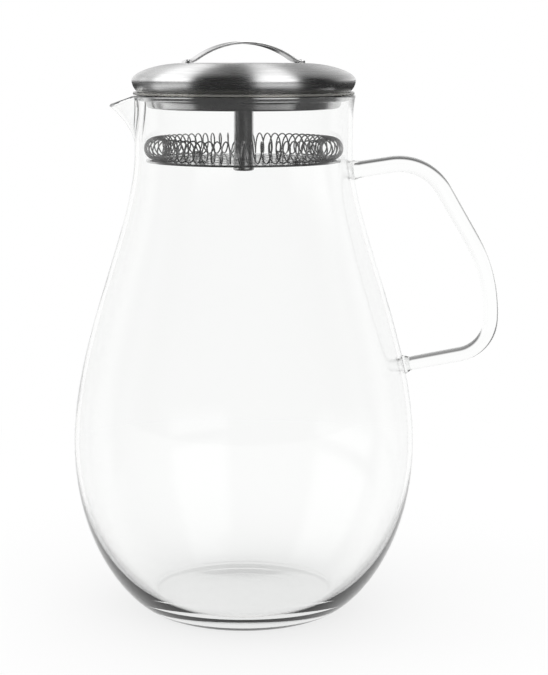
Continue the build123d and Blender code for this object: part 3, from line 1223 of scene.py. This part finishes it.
@dataclass
class Strainer:
    """The stem below the lid, the plate on it and the coil wound into a ring round the plate."""

    stem_bore_radius: float = 2.4
    stem_ease: float = 0.3
    coil_turns: int = 66
    coil_radius: float = 36.0
    wire_radius: float = 0.3
    steps_a_turn: int = 28
    wire_sides: int = 8
    cap_nut_bore: float = 2.05
    cap_nut_ease: float = 1.3
    cap_nut_spans: tuple[int, ...] = (3, 8, 3, 2, 2, 1)
    turns: int = 64

    def stem(self) -> Shape:
        """The tube between the dish and the plate."""
        bore = self.stem_bore_radius
        return sleeve("stem_sleeve", "stem_tube", bore, self.stem_ease, self.turns)

    def coil(self) -> Shape:
        """The coil: a round wire along a helix that is itself bent into a ring.

        For a loop angle b and a ring angle a = b / turns, the wire's centre lies at the radius
        R + r cos b and the height r sin b. Its section's first axis points away from the loop's
        centre, and its second is square to that and to the wire.

        Returns:
            The new object.
        """
        low, high = node_box("coil_spring")
        loop = (high[2] - low[2]) / 2 - self.wire_radius
        level = (high[2] + low[2]) / 2
        angle = np.linspace(0, FULL_TURN, self.coil_turns * self.steps_a_turn + 1)
        wind = angle * self.coil_turns - pi / 2
        outward = np.stack([np.cos(angle), np.sin(angle), 0 * angle], axis=-1)
        onward = np.stack([-np.sin(angle), np.cos(angle), 0 * angle], axis=-1)
        upward = np.tile([0.0, 0.0, 1.0], (len(angle), 1))
        cosine, sine = np.cos(wind)[:, None], np.sin(wind)[:, None]
        reach = self.coil_radius + loop * cosine
        path = outward * reach + upward * (level + loop * sine)
        way = loop * self.coil_turns * (upward * cosine - outward * sine) + onward * reach
        way /= np.linalg.norm(way, axis=1, keepdims=True)
        away = outward * cosine + upward * sine
        grid = carried(path, away, np.cross(way, away), self.wire_radius * ring(self.wire_sides))
        grid[-1] = grid[0]
        return Piece("coil_wire", [grid]).build()

    def nut(self) -> Shape:
        """The round nut that closes the rod's lower end.

        Returns:
            The new object.
        """
        low, high = node_box("cap_nut")
        side, bore, ease = high[0], self.cap_nut_bore, self.cap_nut_ease
        bottom, floor, top = low[2], low[2] + ease, high[2]
        runs = [
            [(side - ease, bottom)],
            [(side, bottom), (side, floor)],
            [(side, top)],
            [(bore, top)],
            [(bore, floor)],
            [(0, floor)],
        ]
        outline = drawn((0, bottom), *zip(self.cap_nut_spans, runs))
        return Piece("cap_nut_round", [spun(outline, self.turns)]).build()

    def build(self, finishes: Finishes) -> None:
        """Make the strainer's pieces, dress them and dress the CAD nodes that stay.

        Args:
            finishes: the made materials.
        """
        dress(self.stem(), finishes.polished, Body.LID, "stem_tube")
        dress(self.coil(), finishes.wire, Body.LID, "coil_spring")
        dress(self.nut(), finishes.fastener, Body.LID, "cap_nut")
        finish_node("strainer_plate", finishes.polished)
        finish_node("stem_seal", finishes.silicone)
        for node in ("tie_rod", "rod_washer", "rod_nut", "lock_washer"):
            finish_node(node, finishes.fastener)


# ----- Studio -----


@dataclass(frozen=True)
class SoftBox:
    """A lit panel that metal mirrors in a fan from the rim to the middle of a round dome.

    The bearing is the heading of the fan on the dome: half way between the panel and the camera.
    Bearings are in degrees, and heights are the sines of elevations.
    """

    bearing: float
    half_width: float
    level: float
    low: float = 0.04
    fade: Pair = (0.15, 1.1)
    far_share: float = 0.6
    edge: float = 3.0
    height_edge: float = 0.035

    def light(self, sheet: Sheet, x: Value, y: Value, z: Value) -> Socket:
        """The panel's level in the direction x, y, z, with soft edges.

        Args:
            sheet: the nodes to add to.
            x: the direction's share along X.
            y: its share along Y.
            z: its share along Z.

        Returns:
            The level, 0 away from the panel.
        """
        toward, turned = sheet.heading(x, sheet.maths("SUBTRACT", y, 1.0), self.bearing)
        edges = tuple(cos(radians(self.half_width + side * self.edge)) for side in (1, -1))
        rise = (self.low - self.height_edge, self.low + self.height_edge)
        across, above = sheet.span(toward, edges, soft=True), sheet.span(z, rise, soft=True)
        level = sheet.span(turned, self.fade, (self.level * self.far_share, self.level))
        return sheet.product(across, above, level)


@dataclass(frozen=True)
class SoftLamp:
    """A soft rectangular lamp, placed and sized in metres, that shows in no mirror."""

    name: str
    place: Place
    size: Pair
    power: float = 9.0

    def hang(self, aim: Place) -> None:
        """Hang the lamp so that it looks at a point.

        Args:
            aim: the point, in metres.
        """
        data = bpy.data.lights.new(self.name, "AREA")
        data.shape, data.size, data.size_y, data.energy = "RECTANGLE", *self.size, self.power
        lamp = bpy.data.objects.new(self.name, data)
        lamp.location = self.place
        lamp.rotation_euler = (Vector(aim) - lamp.location).to_track_quat("-Z", "Y").to_euler()
        lamp.visible_glossy = False
        lamp.visible_transmission = False
        bpy.context.scene.collection.objects.link(lamp)


@dataclass
class Studio:
    """The camera, the pale floor, the soft lamps and the world.

    Places are in metres. The pairs that shape the light are ranges of a distance, or of a
    direction's share, over which a value rises from 0, and a Span adds the value's own range.
    """

    camera_place: Place = (0.0, -0.68442, 0.2307)
    camera_dip: float = 9.743
    lens: float = 89.36
    sensor: float = 36.0
    shift: float = 0.0449
    aim: Place = (0.0, 0.0, 0.2)
    lamps: tuple[SoftLamp, ...] = (
        SoftLamp("left_box", (-1.3, -0.1, 0.75), (0.5, 0.9)),
        SoftLamp("right_box", (0.85, -1.1, 0.8), (0.6, 0.8)),
        SoftLamp("back_box", (0.5, 1.4, 1.2), (0.9, 0.6)),
    )
    panels: tuple[SoftBox, ...] = (
        SoftBox(bearing=230.0, half_width=12.0, level=1.9),
        SoftBox(bearing=287.0, half_width=10.5, level=1.9),
        SoftBox(bearing=211.0, half_width=6.0, level=0.5),
    )
    lid_height: float = 0.21

    floor_rings: tuple[float, ...] = (0.0, 0.3, 1.0, 4.0, 12.0)
    floor_sides: int = 64
    floor_drop: float = 0.02
    floor_colour: Colour = (0.86, 0.86, 0.86, 1)
    floor_glow: Span = ((0.07, 0.35), (0.7, 1.0))
    steep_view: tuple[Pair, ...] = ((0.0, 0.5), (0.22, 0.92), (0.48, 0.92), (0.62, 0.0))
    steep_start: Pair = (0.075, 0.115)
    dim_floor: float = 0.03
    panel_start: Pair = (0.2, 0.4)
    panel_end: Span = ((1.3, 0.8), (0.0, 0.55))

    card_heading: float = 138.0
    card_edge: Pair = (0.92, 0.965)
    card_start: Pair = (0.12, 0.25)
    card_depth: float = 0.85

    room_light: float = 0.75
    dim_room: float = 0.032
    backdrop_depth: Pair = (0.05, 0.85)
    backdrop_height: Span = ((0.0, 0.7), (1.0, 0.4))
    backdrop_side: Span = ((0.02, 0.14), (0.35, 1.0))
    panel_off_eye: Span = ((0.3, 1.3), (0.0, 0.6))
    front: Pair = (0.0, -0.4)
    front_depth: float = 0.65
    clear_level: float = 0.86
    clear_floor: Pair = (0.3, 0.6)
    clear_world: Pair = (0.5, 0.8)

    def camera(self) -> None:
        """A long lens just above the lid, looking slightly down."""
        data = bpy.data.cameras.new("camera")
        data.lens, data.sensor_width = self.lens, self.sensor
        data.shift_x = self.shift
        eye = bpy.data.objects.new("camera", data)
        eye.location = self.camera_place
        eye.rotation_euler = (radians(90 - self.camera_dip), 0, 0)
        bpy.context.scene.collection.objects.link(eye)
        bpy.context.scene.camera = eye

    def _card(self, sheet: Sheet, x: Value, y: Value) -> Socket:
        """1 towards the dark card that stands behind the object to the left, fading to 0."""
        return sheet.span(sheet.heading(x, y, self.card_heading)[0], self.card_edge, soft=True)

    def _level(
        self,
        sheet: RaySheet,
        way: tuple[Value, Value, Value],
        base: Value,
        share: Value,
        clear: Pair,
        bare: Value,
    ) -> Socket:
        """What each ray sees: white from the camera, the panels off metal, and else the bare level.

        Args:
            sheet: the nodes to add to.
            way: the x, y and z of the direction that is looked in.
            base: the level between the panels.
            share: how much of the panels shows.
            clear: the shares along Y over which sharp rays that left metal turn white.
            bare: the level for the rays that left no metal.

        Returns:
            The level.
        """
        lit = (sheet.product(panel.light(sheet, *way), share) for panel in self.panels)
        white = sheet.span(way[1], clear, (0, self.clear_level), soft=True)
        white = sheet.product(sheet.sharp, white)
        mirrored = sheet.maths("MAXIMUM", sheet.total(base, *lit), white)
        looked_at = sheet.pick(sheet.off_metal, mirrored, bare)
        return sheet.pick(sheet.path["Is Camera Ray"], 1.0, looked_at)

    def floor(self) -> None:
        """A round white table top that stays white away from the object and holds its shadow.

        Near the object it shows more of its paint, which takes the shadow, and further out more of
        its glow. Solid glass sees the dark card's edge on it and sees it dark where it looks
        steeply down. Metal sees it dim, with the panels' streaks.
        """
        reach = np.array(self.floor_rings)[:, None] / METRES
        angle = np.linspace(0, FULL_TURN, self.floor_sides + 1)
        table = Piece("floor", [polar(reach, -self.floor_drop, angle)]).build()
        sheet = RaySheet.material("white_table")
        x, y, _ = sheet.split(sheet.place())
        far = sheet.reach(x, y)
        card = sheet.product(self._card(sheet, x, y), sheet.span(far, self.card_start))
        steep = sheet.ramp(sheet.facing(), self.steep_view)
        shade = sheet.product(steep, sheet.span(far, self.steep_start, soft=True))
        dark = sheet.maths("MAXIMUM", shade, sheet.product(card, self.card_depth))
        bare = sheet.rest(sheet.product(dark, sheet.off_rod))
        length = sheet.maths("SQRT", sheet.total(sheet.product(far, far), self.lid_height**2))
        way = (*(sheet.maths("DIVIDE", each, length) for each in (x, y)), 1.0)
        near = sheet.product(sheet.span(far, self.panel_start), sheet.span(far, *self.panel_end))
        level = self._level(sheet, way, self.dim_floor, near, self.clear_floor, bare)
        glow = sheet.add("Emission", {"Color": WHITE, "Strength": level})
        paint = sheet.add("BsdfDiffuse", {"Color": self.floor_colour})
        share = sheet.pick(sheet.off_metal, 1.0, sheet.span(far, *self.floor_glow, soft=True))
        surface = sheet.mix(sheet.product(sheet.looked, share), paint, glow)
        table.data.materials.append(sheet.close(surface))

    def world(self) -> None:
        """White to the camera, and a dim room with soft panels to metal.

        Glass sees it white too, but solid glass sees the dark card in it, and what glass mirrors
        from the camera's side is dimmer.
        """
        world = bpy.data.worlds.new("studio")
        bpy.context.scene.world = world
        world.cycles.sampling_method = "NONE"
        sheet = RaySheet(world, "OutputWorld")
        way = sheet.split(sheet.add("TexCoord").outputs["Generated"])
        x, y, z = way
        card = sheet.product(self._card(sheet, x, y), sheet.off_rod, self.card_depth)
        front = sheet.span(y, self.front, (0.0, self.front_depth), soft=True)
        mirrors = sheet.product(sheet.reflected, front)
        through = sheet.product(*(sheet.rest(each) for each in (card, mirrors)))
        kinds = (sheet.path[f"Is {kind} Ray"] for kind in ("Transmission", "Glossy"))
        glass = sheet.maths("MAXIMUM", *kinds)
        bare = sheet.pick(glass, through, self.room_light)
        backdrop = sheet.product(
            sheet.span(y, self.backdrop_depth, soft=True),
            sheet.span(z, *self.backdrop_height, soft=True),
            sheet.span(sheet.maths("ABSOLUTE", x), *self.backdrop_side, soft=True),
        )
        turned = sheet.reach(x, sheet.maths("SUBTRACT", y, 1.0))
        off_eye = sheet.span(turned, *self.panel_off_eye, soft=True)
        shown = sheet.pick(sheet.sharp, off_eye, 1.0)
        base = sheet.total(backdrop, self.dim_room)
        level = self._level(sheet, way, base, shown, self.clear_world, bare)
        background = sheet.add("Background", {"Color": WHITE, "Strength": level})
        sheet.close(background.outputs[0])

    def build(self) -> None:
        """Set up everything round the object."""
        scene = bpy.context.scene
        scene.view_settings.view_transform = "Standard"
        for name, value in LIGHT_PATHS.items():
            setattr(scene.cycles, name, value)
        self.camera()
        self.floor()
        self.world()
        for lamp in self.lamps:
            lamp.hang(self.aim)


def main() -> None:
    """Build the studio and the object."""
    logging.basicConfig(level=logging.INFO, format="%(message)s")
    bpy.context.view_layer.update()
    Studio().build()
    finishes = Finishes.make()
    for part in (GlassJug(), Lid(), Strainer()):
        part.build(finishes)
        LOG.info("%s built", type(part).__name__)


if __name__ == "__main__":
    main()
